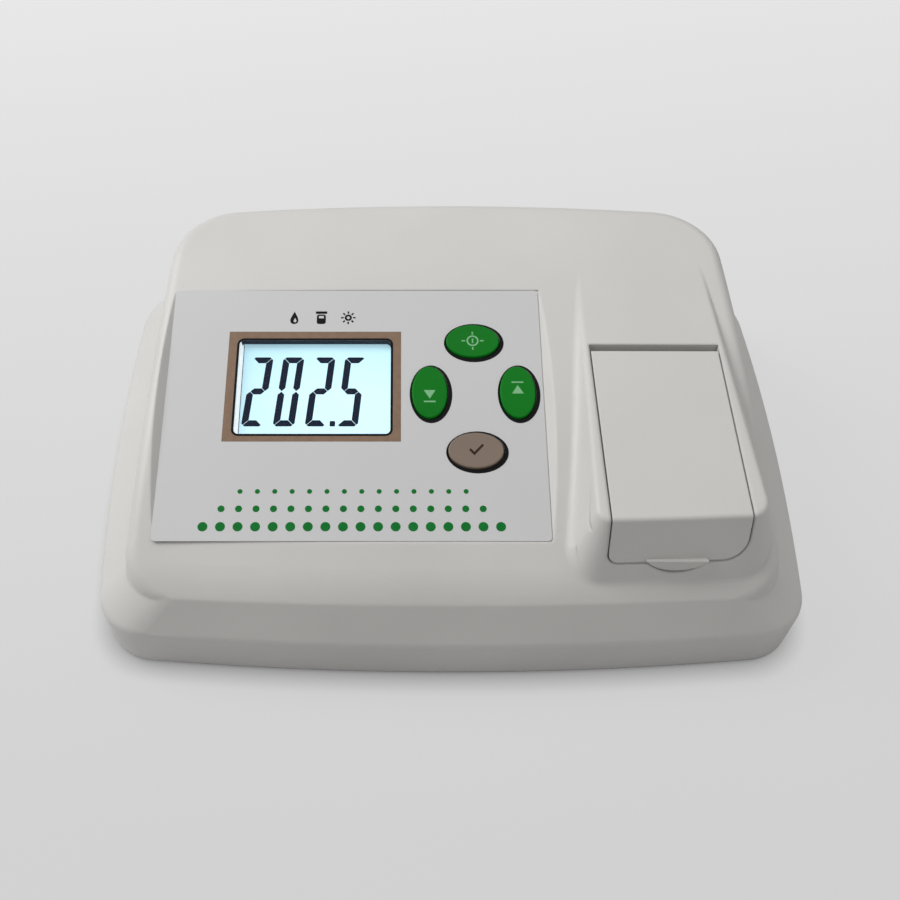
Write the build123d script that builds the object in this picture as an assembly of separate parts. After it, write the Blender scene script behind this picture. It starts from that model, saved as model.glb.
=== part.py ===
from build123d import *
import math
import os

# Bench colorimeter with a sample lid. Millimetres, +X right, +Y to the rear, +Z up.
# The origin is on the bench, under the middle of the housing's plinth.

# Housing skin
wall = 2.5

# How far a cut runs past the face it opens, how far a joined form reaches into its neighbour,
# and a length greater than any of the instrument's
cut = 1.0
join = 0.5
far = 200.0

# Plinth, the upright skirt at the foot of the housing
plinth_width = 268.0
plinth_depth = 190.0
plinth_front_narrowing = 7.8
plinth_rear_narrowing = 1.0
plinth_front_bow = 6.5
plinth_rear_bow = 7.5
plinth_front_radius = 20.0
plinth_rear_radius = 26.0
plinth_bottom_z = 2.6
plinth_top_z = 21.6
plinth_edge_radius = 4.0

# Ledge, the sloped band between the plinth and the body
ledge_front_run = 10.6
ledge_side_run = 18.6
ledge_rear_run = 7.5
ledge_top_z = 36.0
ledge_skin_drop = 2.0
ledge_skin_inset = 1.6

# Body walls, given at the height of the crease above the ledge
crease_z = 34.0
body_width = 236.0
body_front_y = -85.0
body_rear_y = 89.5
body_side_draft = 11.0
body_front_draft = 10.0
body_rear_draft = 9.3
body_front_narrowing = 1.4
body_rear_narrowing = 0.8
body_front_bow = 3.0
body_rear_bow = 6.0
body_front_radius = 18.0
body_rear_radius = 27.0
body_edge_radius = 5.0

# Crown, the top of the body seen from the side: one long arc that rolls down to the crease
crease_front_y = -86.1
roll_start_y = -74.7
bow_radius = 2000.0

# Instrument panel, a flat recess cut as a chord in the crown
panel_slope = 14.86
panel_front_y = -65.4
panel_front_z = 44.9
panel_left_x = -106.2
panel_width = 141.1
panel_length = 102.5
crown_sag = 3.0
panel_gap = 0.2
panel_side_flare = 45.0
overlay_thickness = 0.4
overlay_corner_radius = 1.5

# Display, in panel coordinates: x across the housing, v up the slope from the panel's front edge
window_x = -51.05
window_v = 60.75
window_width = 57.7
window_height = 39.1
window_corner_radius = 1.8
window_gap = 0.5
window_pane_lap = 0.35
window_pane_thickness = 1.5
lcd_width = 65.0
lcd_height = 46.0
lcd_glass_thickness = 2.2
backlight_thickness = 3.5
lcd_frame_rim = 1.5
lcd_gap = 0.1

# Keys
key_long = 20.2
key_short = 14.0
key_turned_long = 21.4
key_turned_short = 13.3
key_proud = 0.8
key_gap = 0.45
key_flange = 1.0
key_flange_thickness = 1.1
key_travel = 0.5
key_rest_gap = 0.05
key_top_rounding = 0.5
key_centres = {
    "top": (8.95, 79.7, False),
    "left": (-7.6, 58.0, True),
    "right": (25.3, 58.0, True),
    "bottom": (9.1, 34.35, False),
}
switch_size = 6.0
switch_height = 3.5
plunger_radius = 1.7
plunger_gap = 0.05
plunger_depth = 0.8
plunger_end_room = 0.2

# Display board
board_thickness = 1.6
board_corner_radius = 2.0
display_board_left_x = -88.0
display_board_right_x = 36.0
display_board_front_v = 24.0
display_board_rear_v = 95.0
display_boss_inset = 5.5
ribbon_width = 25.4
ribbon_thickness = 0.9
ribbon_sway = 3.0
connector_width = 30.0
connector_depth = 5.0
connector_height = 5.0
ribbon_x = -60.0
ribbon_v = 50.0

# Ridge, the raised block that carries the sample lid
ridge_front_y = -69.4
ridge_front_z = 62.8
ridge_top_slope = 4.95
ridge_front_slope = 67.0
ridge_left_x = 47.9
ridge_right_x = 107.0
ridge_right_taper = 1.3
ridge_draft = 18.2
ridge_rear_y = 62.0
ridge_low_z = 36.0
ridge_high_z = 76.0
ridge_left_corner_radii = (11.0, 1.5)
ridge_right_corner_radii = (17.0, 2.0)
ridge_edge_radius = 1.8
flare_radius = 4.5
flare_front_radius = 5.0
flare_end_y = 34.0
flare_last_radius = 0.5
flare_side_steps = 10
flare_front_steps = 4
flare_corner_steps = 14
flare_fade = 0.45
flare_sink = 0.06
flare_bite = 1.2

# Sample lid
lid_x = 76.6
lid_width = 47.6
lid_rear_y = 3.3
lid_gap = 0.5
lid_slot = 3.0
lid_bottom_z = 46.6
lid_sill_gap = 0.7
lid_left_corner_radius = 3.5
lid_right_corner_radius = 8.0
lid_wall = 2.2
lid_skirt_depth = 9.0
lid_rest_gap = 0.05
lid_rest_width = 4.0
lid_rest_offset = 16.0
lid_rest_inset = 0.3
lip_width = 19.7
lip_drop = 4.2
lip_proud = 1.7
lip_rise = 1.2
lip_gap = 0.45
lip_backing = 3.0
lip_foot_proud = -0.4
lip_edge_radius = 0.4
lip_root_inset = 0.3
lip_notch_rise = 6.0
lip_notch_reach = 12.0

# Lid hinge
hinge_y = -1.2
hinge_z = 63.9
hinge_pin_radius = 1.5
hinge_running_gap = 0.05
hinge_press_gap = 0.01
hinge_ear_radius = 3.6
hinge_ear_width = 6.0
hinge_pin_bite = 2.2

# Sample well and its optics
well_y = -32.7
well_radius = 12.8
well_wall = 2.2
well_proud = 2.0
well_floor_z = 11.5
well_base_z = 8.5
well_clearance = 0.3
holder_side = 38.0
holder_flange_length = 59.0
holder_flange_thickness = 3.0
holder_screw_half_x = 14.0
holder_screw_half_y = 24.5
holder_nose_length = 6.0
light_path_z = 26.0
light_path_radius = 3.2
seal_width = 4.5
seal_thickness = 1.5
filter_radius = 5.0
filter_thickness = 2.5
detector_length = 5.2
optic_gap = 0.1
lamp_radius = 2.5
lamp_length = 4.5
lamp_flange_radius = 2.9
lamp_flange_thickness = 1.0
optic_board_side = 18.0
optic_screw_offset = 6.2

# Bottom cover and feet
cover_thickness = 2.5
cover_recess = 0.8
cover_gap = 0.4
foot_radius = 7.0
foot_seat = 1.0
foot_chamfer = 0.8
foot_half_spacing_x = 104.0
foot_front_y = -70.0
foot_rear_y = 70.0

# Screws
screw_radius = 1.4
screw_hole_gap = 0.06
screw_head_radius = 2.75
screw_head_height = 2.0
screw_head_seat = 1.2
screw_slot_width = 0.7
screw_slot_length = 3.2
screw_slot_depth = 1.0
screw_head_rounding = 0.6
screw_clear_gap = 0.2
screw_tip_room = 0.3
boss_radius = 4.2
small_boss_radius = 3.2
housing_screw_length = 11.0
board_screw_length = 6.0
holder_screw_length = 4.8
housing_boss_x = 106.0
housing_boss_front_y = -50.0
housing_boss_rear_y = 48.0

# Main board
main_board_width = 124.0
main_board_depth = 92.0
main_board_x = -38.0
main_board_y = 4.0
main_board_z = 10.4
main_boss_inset = 6.0
chip_side = 14.0
chip_height = 1.6
capacitor_radius = 4.0
capacitor_height = 10.0
regulator_width = 10.0
regulator_depth = 8.0
regulator_height = 4.5
header_width = 10.0
header_depth = 6.0
header_height = 7.0
header_gap = 4.0

# Rear sockets
rear_pad_y = 83.4
rear_pad_half_width = 32.0
rear_pad_bottom_z = 39.0
rear_pad_top_z = 61.0
inlet_x = -17.0
inlet_z = 50.0
inlet_barrel_radius = 4.0
inlet_flange_radius = 5.6
inlet_flange_thickness = 1.4
inlet_bore_radius = 2.85
inlet_bore_depth = 9.0
inlet_pin_radius = 1.05
inlet_pin_recess = 1.0
inlet_body_length = 13.0
inlet_nut_radius = 5.6
inlet_nut_thickness = 2.0
rocker_x = 13.0
rocker_z = 50.0
rocker_pivot_depth = 3.0
switch_bezel_width = 15.0
switch_bezel_height = 21.0
switch_bezel_thickness = 1.6
switch_bezel_radius = 1.5
switch_body_width = 12.8
switch_body_height = 18.6
switch_body_depth = 13.0
rocker_width = 9.4
rocker_height = 14.0
rocker_tilt = 8.0
rocker_gap = 0.3
rocker_cavity_depth = 9.0
rocker_pin_radius = 1.2
rocker_pin_length = 1.4
rocker_pin_end_room = 0.1
rocker_proud = 1.0
rocker_foot = 2.5
panel_cutout_gap = 0.15
tab_width = 3.0
tab_thickness = 0.8
tab_length = 5.0
tab_spacing = 6.0


# Values worked out from the sizes above
slope_cos = math.cos(math.radians(panel_slope))
slope_sin = math.sin(math.radians(panel_slope))
crown_radius = panel_length ** 2 / (8 * crown_sag) + crown_sag / 2
crown_y = panel_front_y + panel_length / 2 * slope_cos - slope_sin * (crown_sag - crown_radius)
crown_centre_z = panel_front_z + panel_length / 2 * slope_sin + slope_cos * (crown_sag - crown_radius)
panel = Plane(origin=(0, panel_front_y, panel_front_z), x_dir=(1, 0, 0), z_dir=(0, -slope_sin, slope_cos))
panel_under = -overlay_thickness - wall
lcd_back = panel_under - lcd_glass_thickness - backlight_thickness
bay_floor_z = lid_bottom_z - lid_sill_gap
bay_rear_y = lid_rear_y + lid_slot
deck_under_z = bay_floor_z - wall
cover_bottom_z = plinth_bottom_z + cover_recess
cover_top_z = cover_bottom_z + cover_thickness
well_outer_radius = well_radius + well_wall
switch_top = lcd_back + switch_height
key_stem_bottom = panel_under - key_rest_gap - key_flange_thickness
holder_rear_y = well_y + holder_side / 2
holder_front_y = well_y - holder_side / 2
nose_front_y = holder_front_y - holder_nose_length
main_board_top_z = main_board_z + board_thickness
rocker_pivot_y = rear_pad_y - rocker_pivot_depth


def crown_height(y):
    """Height of the crown above the bench at depth y."""
    return crown_centre_z + math.sqrt(crown_radius ** 2 - (y - crown_y) ** 2)


def box(x0, x1, y0, y1, z0, z1):
    """A box between two corners."""
    return Pos((x0 + x1) / 2, (y0 + y1) / 2, (z0 + z1) / 2) * Box(x1 - x0, y1 - y0, z1 - z0)


def rod_x(radius, x0, x1, y, z):
    """A round bar along X."""
    return Pos((x0 + x1) / 2, y, z) * Rot(0, 90, 0) * Cylinder(radius, x1 - x0)


def rod_y(radius, x, y0, y1, z):
    """A round bar along Y."""
    return Pos(x, (y0 + y1) / 2, z) * Rot(90, 0, 0) * Cylinder(radius, y1 - y0)


def rod_z(radius, x, y, z0, z1):
    """A round bar along Z."""
    return Pos(x, y, (z0 + z1) / 2) * Cylinder(radius, z1 - z0)


def bowed(profile, half_angle=4.3):
    """Sweep a side profile across the housing, along the shallow bow of its front."""
    axis = Axis((0, crease_front_y + bow_radius, 0), (0, 0, 1))
    return revolve(profile.rotate(axis, -half_angle), axis, 2 * half_angle)


def outline(
    half, front_narrowing, rear_narrowing, front_y, rear_y, front_bow, rear_bow, front_radius, rear_radius,
):
    """A four-sided plan of bowed sides with rounded corners."""
    front_corner_y = front_y + front_bow
    rear_corner_y = rear_y - rear_bow
    front_left = (front_narrowing - half, front_corner_y)
    front_right = (half - front_narrowing, front_corner_y)
    rear_left = (rear_narrowing - half, rear_corner_y)
    rear_right = (half - rear_narrowing, rear_corner_y)
    middle_y = (front_corner_y + rear_corner_y) / 2
    sides = [
        ThreePointArc(front_left, (0, front_y), front_right),
        ThreePointArc(front_right, (half, middle_y), rear_right),
        ThreePointArc(rear_right, (0, rear_y), rear_left),
        ThreePointArc(rear_left, (-half, middle_y), front_left),
    ]
    face = make_face(sides)
    face = fillet(face.vertices().sort_by(Axis.Y)[:2], front_radius)
    return fillet(face.vertices().sort_by(Axis.Y)[-2:], rear_radius)


def plinth_outline(inset=0.0):
    """Plan of the plinth."""
    return outline(
        plinth_width / 2 - inset, plinth_front_narrowing, plinth_rear_narrowing,
        inset - plinth_depth / 2, plinth_depth / 2 - inset, plinth_front_bow, plinth_rear_bow,
        plinth_front_radius - inset, plinth_rear_radius - inset,
    )


def ledge_top_outline(inset=0.0):
    """Plan of the sloped band where it ends inside the body."""
    return outline(
        plinth_width / 2 - ledge_side_run - inset, plinth_front_narrowing / 2, plinth_rear_narrowing,
        ledge_front_run + inset - plinth_depth / 2, plinth_depth / 2 - ledge_rear_run - inset,
        body_front_bow, plinth_rear_bow, body_front_radius - inset, plinth_rear_radius - inset,
    )


def body_outline(z, inset=0.0):
    """Plan of the body's walls at height z."""
    rise = z - crease_z
    return outline(
        body_width / 2 - rise * math.tan(math.radians(body_side_draft)) - inset,
        body_front_narrowing, body_rear_narrowing,
        body_front_y + rise * math.tan(math.radians(body_front_draft)) + inset,
        body_rear_y - rise * math.tan(math.radians(body_rear_draft)) - inset,
        body_front_bow, body_rear_bow, body_front_radius - inset, body_rear_radius - inset,
    )


def crown_profile(inset=0.0):
    """Side profile under the crown: the long arc, the roll at the front, and the tangent below it."""
    reach = 20.0
    rear_y = crown_y + reach / 2
    start = (roll_start_y, crown_height(roll_start_y))
    start_slope = math.atan2(crown_y - start[0], start[1] - crown_centre_z)
    chord_slope = math.atan2(start[1] - crease_z, start[0] - crease_front_y)
    end_slope = 2 * chord_slope - start_slope
    middle_y = (roll_start_y + rear_y) / 2
    roll_direction = (-math.cos(start_slope), -math.sin(start_slope))
    tip = (crease_front_y - reach, crease_z - reach * math.tan(end_slope))
    outer = [
        ThreePointArc(start, (middle_y, crown_height(middle_y)), (rear_y, crown_height(rear_y))),
        TangentArc(start, (crease_front_y, crease_z), tangent=roll_direction),
        Line((crease_front_y, crease_z), tip),
        Line(tip, (tip[0], -reach)),
        Line((tip[0], -reach), (rear_y, -reach)),
        Line((rear_y, -reach), (rear_y, crown_height(rear_y))),
    ]
    face = make_face(outer)
    if inset:
        face = offset(face, amount=-inset)
    return Plane.YZ * face


def ridge_profile(inset=0.0):
    """Side profile under the ridge's gently sloped top."""
    reach = 30.0
    front_y = ridge_front_y - reach
    slope = math.tan(math.radians(ridge_top_slope))
    front_z = ridge_front_z - inset - reach * slope
    rear_z = ridge_front_z - inset + (ridge_rear_y - ridge_front_y) * slope
    return Plane.YZ * make_face(Polyline(
        (front_y, front_z),
        (ridge_rear_y, rear_z),
        (ridge_rear_y, 0),
        (front_y, 0),
        close=True,
    ))


def bow_y(front_y, x):
    """Depth of the bowed line through front_y at a place across the housing."""
    centre_y = crease_front_y + bow_radius
    return centre_y - math.sqrt((centre_y - front_y) ** 2 - x ** 2)


def ridge_outline(z, radii, inset=0.0):
    """Plan of the ridge at height z, with its left and right front corners rounded."""
    drop = ridge_front_z - z
    spread = drop * math.tan(math.radians(ridge_draft))
    front_y = ridge_front_y - drop / math.tan(math.radians(ridge_front_slope)) + inset
    left = ridge_left_x - spread + inset
    right = ridge_right_x + spread - inset
    taper = (ridge_rear_y - front_y) * math.tan(math.radians(ridge_right_taper))
    front_left = (left, bow_y(front_y, left))
    front_right = (right, bow_y(front_y, right))
    middle_x = (left + right) / 2
    face = make_face([
        ThreePointArc(front_left, (middle_x, bow_y(front_y, middle_x)), front_right),
        Line(front_right, (right - taper, ridge_rear_y)),
        Line((right - taper, ridge_rear_y), (left, ridge_rear_y)),
        Line((left, ridge_rear_y), front_left),
    ])
    corners = face.vertices().sort_by(Axis.Y)[:2].sort_by(Axis.X)
    face = fillet(corners[0], radii[0])
    return fillet(face.vertices().sort_by(Axis.Y).filter_by(lambda v: v.X > middle_x)[0], radii[1])


def between(lower, lower_z, upper, upper_z):
    """A straight-walled solid between two plans."""
    return loft([(Pos(0, 0, lower_z) * lower).face(), (Pos(0, 0, upper_z) * upper).face()], ruled=True)


def ridge_block(inset=0.0):
    """The ridge, or the space inside its skin."""
    low_radii = (ridge_left_corner_radii[0], ridge_right_corner_radii[0])
    high_radii = (ridge_left_corner_radii[1], ridge_right_corner_radii[1])
    low = ridge_outline(ridge_low_z, low_radii, inset)
    high = ridge_outline(ridge_high_z, high_radii, inset)
    return between(low, ridge_low_z, high, ridge_high_z) & bowed(ridge_profile(inset))


def body_block(inset=0.0):
    """The body under its crown, or the space inside its skin."""
    low_z = plinth_top_z
    high_z = ridge_high_z + 10
    walls = between(body_outline(low_z, inset), low_z, body_outline(high_z, inset), high_z)
    return walls & bowed(crown_profile(inset))


def edges_between(shape, first, second):
    """The edges of a shape that lie between two groups of its faces."""
    def borders(edge, faces):
        return any(edge.is_same(other) for face in faces for other in face.edges())
    return [edge for edge in shape.edges() if borders(edge, first) and borders(edge, second)]


def rounded_body():
    """The body with its rim rounded where the crown meets the walls."""
    block = body_block()
    flattest_wall = 0.5
    tops = [f for f in block.faces() if f.normal_at(f.center()).Z > flattest_wall]
    walls = [f for f in block.faces() if abs(f.normal_at(f.center()).Z) < flattest_wall]
    return fillet(edges_between(block, tops, walls), body_edge_radius)


def rounded_ridge():
    """The ridge with its top edges rounded."""
    block = ridge_block()
    top = block.faces().sort_by(lambda f: f.normal_at(f.center()).Z)[-1]
    rim = [e for e in top.edges() if e.center().Y < ridge_rear_y - cut]
    return fillet(rim, ridge_edge_radius)


def ridge_top(y):
    """Height of the ridge's top at depth y."""
    return ridge_front_z + (y - ridge_front_y) * math.tan(math.radians(ridge_top_slope))


def ground_height(x, y):
    """Height of the crown, or of the roll in front of it, at a place in plan."""
    centre_y = crease_front_y + bow_radius
    y = centre_y - math.sqrt((centre_y - y) ** 2 + x ** 2)
    if y > roll_start_y:
        return crown_height(y)
    start_z = crown_height(roll_start_y)
    slope = math.atan2(crown_y - roll_start_y, start_z - crown_centre_z)
    run = crease_front_y - roll_start_y
    fall = crease_z - start_z
    roll_radius = (run ** 2 + fall ** 2) / (2 * (run * math.sin(slope) - fall * math.cos(slope)))
    roll_y = roll_start_y + roll_radius * math.sin(slope)
    roll_z = start_z - roll_radius * math.cos(slope)
    return roll_z + math.sqrt(roll_radius ** 2 - (y - roll_y) ** 2)


def ground_normal(place):
    """Direction square to the crown at a place."""
    step = 0.01
    fall_x = (ground_height(place.X + step, place.Y) - ground_height(place.X - step, place.Y)) / (2 * step)
    fall_y = (ground_height(place.X, place.Y + step) - ground_height(place.X, place.Y - step)) / (2 * step)
    return Vector(-fall_x, -fall_y, 1).normalized()


def ridge_foot(low, high):
    """The place where the line from a low point of the ridge's wall to a high one leaves the crown."""
    under = 0.0
    over = 1.0
    halvings = 40
    for _ in range(halvings):
        share = (under + over) / 2
        place = low + (high - low) * share
        if place.Z > ground_height(place.X, place.Y):
            over = share
        else:
            under = share
    return low + (high - low) * over


def flare_stations():
    """Side of the ridge, share of that side and radius for each section, from left rear to front right."""
    stations = [(0, i / flare_side_steps, flare_radius) for i in range(flare_side_steps)]
    for i in range(flare_corner_steps):
        share = i / flare_corner_steps
        stations.append((1, share, flare_radius + (flare_front_radius - flare_radius) * share))
    stations += [(2, i / flare_front_steps, flare_front_radius) for i in range(flare_front_steps)]
    for i in range(flare_corner_steps):
        share = i / flare_corner_steps
        radius = flare_front_radius + (flare_last_radius - flare_front_radius) * share
        stations.append((3, share * flare_fade, radius))
    return stations


def top_edge_core(foot, wall_normal, across):
    """Centre of the ridge's rounded top edge, in the plane through foot that is square to across."""
    slope = math.radians(ridge_top_slope)
    top_normal = Vector(0, -math.sin(slope), math.cos(slope))
    rise = ridge_top(foot.Y) - foot.Z
    edge = foot + Vector(rise * math.tan(math.radians(ridge_draft)), 0, rise)
    core = edge - (wall_normal + top_normal) * (ridge_edge_radius / (1 + wall_normal.dot(top_normal)))
    along = wall_normal.cross(top_normal).normalized()
    return core + along * ((foot - core).dot(across) / along.dot(across))


def flare_section(foot, wall_normal, radius, low_wall):
    """Section of the hollow curve that a ball leaves as it rolls between the crown and the ridge."""
    up = ground_normal(foot)
    centre = foot + (wall_normal + up) * (radius / (1 + wall_normal.dot(up)))
    upper_normal = wall_normal
    if low_wall:
        across = wall_normal.cross(up).normalized()
        core = top_edge_core(foot, wall_normal, across)
        outward = up.cross(across).normalized()
        if outward.dot(wall_normal) < 0:
            outward = outward * -1
        base = foot + up * radius - core
        reach = radius + ridge_edge_radius
        side = base.dot(outward)
        beside = centre - wall_normal * radius - core
        if beside.dot(up) > wall_normal.dot(up) * ridge_edge_radius:
            centre = core + base + outward * (math.sqrt(side ** 2 - base.dot(base) + reach ** 2) - side)
            upper_normal = (centre - core).normalized()
    middle = (upper_normal + up).normalized()
    lower_end = centre - up * radius
    upper_end = centre - upper_normal * radius
    sag = radius - (centre - (lower_end + upper_end) * 0.5).length
    sink = middle * -min(flare_sink, sag / 4)
    corner = centre - middle * (radius / up.dot(middle) + flare_bite)
    return Wire([
        Edge.make_three_point_arc(lower_end + sink, centre - middle * radius + sink, upper_end + sink),
        Edge.make_line(upper_end + sink, corner),
        Edge.make_line(corner, lower_end + sink),
    ])


def ridge_flare():
    """The hollow curve that leads from the crown up to the ridge, round its left and front."""
    low = ridge_outline(ridge_low_z, (ridge_left_corner_radii[0], ridge_right_corner_radii[0])).edges()
    high = ridge_outline(ridge_high_z, (ridge_left_corner_radii[1], ridge_right_corner_radii[1])).edges()
    skipped = (ridge_rear_y - flare_end_y) / low[0].length
    sections = []
    for side, share, radius in flare_stations():
        if side == 0:
            share = skipped + (1 - skipped) * share
        bottom = low[side] @ share + Vector(0, 0, ridge_low_z)
        top = high[side] @ share + Vector(0, 0, ridge_high_z)
        foot = ridge_foot(bottom, top)
        blend = (foot.Z - ridge_low_z) / (ridge_high_z - ridge_low_z)
        along = (low[side] % share) * low[side].length * (1 - blend)
        along += (high[side] % share) * high[side].length * blend
        wall_normal = along.cross(top - bottom).normalized()
        if wall_normal.Z < 0:
            wall_normal = wall_normal * -1
        sections.append(flare_section(foot, wall_normal, radius, side == 0))
    return Solid.make_loft(sections, ruled=True)


def lid_prism(grow, bottom, front_y, rear_y):
    """A bar along Y with the lid's section: straight sides and rounded lower corners."""
    left = lid_x - lid_width / 2 - grow
    right = lid_x + lid_width / 2 + grow
    face = make_face(Polyline((left, bottom), (right, bottom), (right, far), (left, far), close=True))
    lower = face.vertices().sort_by(Axis.Y)[:2].sort_by(Axis.X)
    face = fillet(lower[0], lid_left_corner_radius + grow)
    lower = face.vertices().sort_by(Axis.Y)[:3].sort_by(Axis.X)
    face = fillet(lower[-1], lid_right_corner_radius + grow)
    return Pos(0, rear_y, 0) * extrude(Rot(90, 0, 0) * face, rear_y - front_y)


def panel_box(x0, x1, v0, v1, n0, n1):
    """A box in panel coordinates, n being the height above the panel."""
    place = Pos((x0 + x1) / 2, (v0 + v1) / 2, (n0 + n1) / 2)
    return panel.location * place * Box(x1 - x0, v1 - v0, n1 - n0)


def panel_rod(radius, x, v, n0, n1):
    """A round bar square to the panel."""
    return panel.location * Pos(x, v, (n0 + n1) / 2) * Cylinder(radius, n1 - n0)


def panel_slab(sketch, n0, n1):
    """A flat shape in panel coordinates, given thickness."""
    return extrude(panel.location * Pos(0, 0, n0) * sketch, n1 - n0)


def key_ellipse(name, grow=0.0):
    """Plan of one key, in panel coordinates."""
    x, v, turned = key_centres[name]
    if turned:
        return Pos(x, v) * Ellipse(key_turned_short / 2 + grow, key_turned_long / 2 + grow)
    return Pos(x, v) * Ellipse(key_long / 2 + grow, key_short / 2 + grow)


def window_shape(grow=0.0):
    """Plan of the display window, in panel coordinates."""
    plan = RectangleRounded(window_width + 2 * grow, window_height + 2 * grow, window_corner_radius + grow)
    return Pos(window_x, window_v) * plan


def panel_recess():
    """The cut that makes the flat panel, with sides that lean outwards."""
    floor = -overlay_thickness
    rise = 12.0
    lean = (rise - floor) * math.tan(math.radians(panel_side_flare))
    left = panel_left_x - panel_gap
    right = panel_left_x + panel_width + panel_gap
    face = make_face(Polyline(
        (left, floor), (right, floor), (right + lean, rise), (left - lean, rise), close=True))
    length = panel_length + 2 * panel_gap
    return panel.location * Pos(0, length - panel_gap, 0) * extrude(Rot(90, 0, 0) * face, length)


def display_boss_places():
    """Where the display board is screwed to the back of the panel."""
    left = display_board_left_x + display_boss_inset
    right = display_board_right_x - display_boss_inset
    front = display_board_front_v + display_boss_inset
    rear = display_board_rear_v - display_boss_inset
    return [(left, front), (right, front), (left, rear), (right, rear)]


def housing_boss_places():
    """Where the bottom cover is screwed to the housing."""
    depths = (housing_boss_front_y, housing_boss_rear_y)
    return [(side * housing_boss_x, y) for side in (-1, 1) for y in depths]


def main_boss_places():
    """Where the main board is screwed to the bottom cover."""
    half_x = main_board_width / 2 - main_boss_inset
    half_y = main_board_depth / 2 - main_boss_inset
    return [(main_board_x + i * half_x, main_board_y + j * half_y) for i in (-1, 1) for j in (-1, 1)]


def foot_places():
    """Where the feet sit under the bottom cover."""
    return [(side * foot_half_spacing_x, y) for side in (-1, 1) for y in (foot_front_y, foot_rear_y)]


def holder_screw_places():
    """Where the cell holder is screwed to the underside of the sample bay."""
    sides = (-1, 1)
    return [(lid_x + i * holder_screw_half_x, well_y + j * holder_screw_half_y) for i in sides for j in sides]


def flap_front_y(x):
    """Depth of the lower front edge of the lid's flap at a place across the housing."""
    drop = ridge_front_z - lid_bottom_z
    return bow_y(ridge_front_y - drop / math.tan(math.radians(ridge_front_slope)), x)


def flap_plane():
    """The plane of the lid's front flap, at the middle of its lower edge."""
    y = flap_front_y(lid_x)
    lean = math.radians(ridge_front_slope)
    return Plane(origin=(lid_x, y, lid_bottom_z), x_dir=(1, 0, 0), z_dir=(0, -math.sin(lean), math.cos(lean)))


def lip_block(grow, inner, outer):
    """The half-moon finger lip under the flap, or the notch that it sits in."""
    radius = ((lip_width / 2) ** 2 + lip_drop ** 2) / (2 * lip_drop)
    disc = Pos(0, radius - lip_drop) * Circle(radius + grow)
    top = lip_notch_rise if grow else lip_rise
    strip_height = top + lip_drop + grow
    strip = Pos(0, top - strip_height / 2) * Rectangle(3 * radius, strip_height)
    lip = extrude(Pos(0, 0, inner) * (disc & strip), outer - inner)
    if not grow:
        undercut = make_face(Polyline(
            (lip_rise, outer), (-lip_drop, lip_foot_proud), (-lip_drop, outer + cut), (lip_rise, outer + cut),
            close=True,
        ))
        lip -= extrude(Plane.YZ.offset(-lip_width) * undercut, 2 * lip_width)
        brow = lip.edges().filter_by(Axis.X).sort_by(Axis.Z)[-1]
        lip = fillet(brow, lip_edge_radius)
    return flap_plane().location * lip


def outer_shell():
    """The housing's outside, as a solid."""
    height = plinth_top_z - plinth_bottom_z
    foot = extrude(Pos(0, 0, plinth_bottom_z) * plinth_outline(), height)
    foot += between(plinth_outline(), plinth_top_z, ledge_top_outline(), ledge_top_z)
    rim = [e for e in foot.edges() if abs(e.center().Z - plinth_top_z) < 0.01]
    foot = fillet(rim, plinth_edge_radius) & bowed(crown_profile())
    return rounded_body() + foot + rounded_ridge() + ridge_flare()


def inner_space():
    """The space inside the housing, before the bay, bosses and pads take their share."""
    plinth = extrude(Pos(0, 0, plinth_bottom_z - 1) * plinth_outline(wall), plinth_top_z - plinth_bottom_z)
    ledge = between(
        plinth_outline(wall), plinth_top_z - ledge_skin_drop,
        ledge_top_outline(ledge_skin_inset), ledge_top_z - ledge_skin_drop,
    )
    body = body_block(wall)
    ledge = ledge & bowed(crown_profile(wall))
    return body + ledge + plinth + ridge_block(wall)


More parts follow.
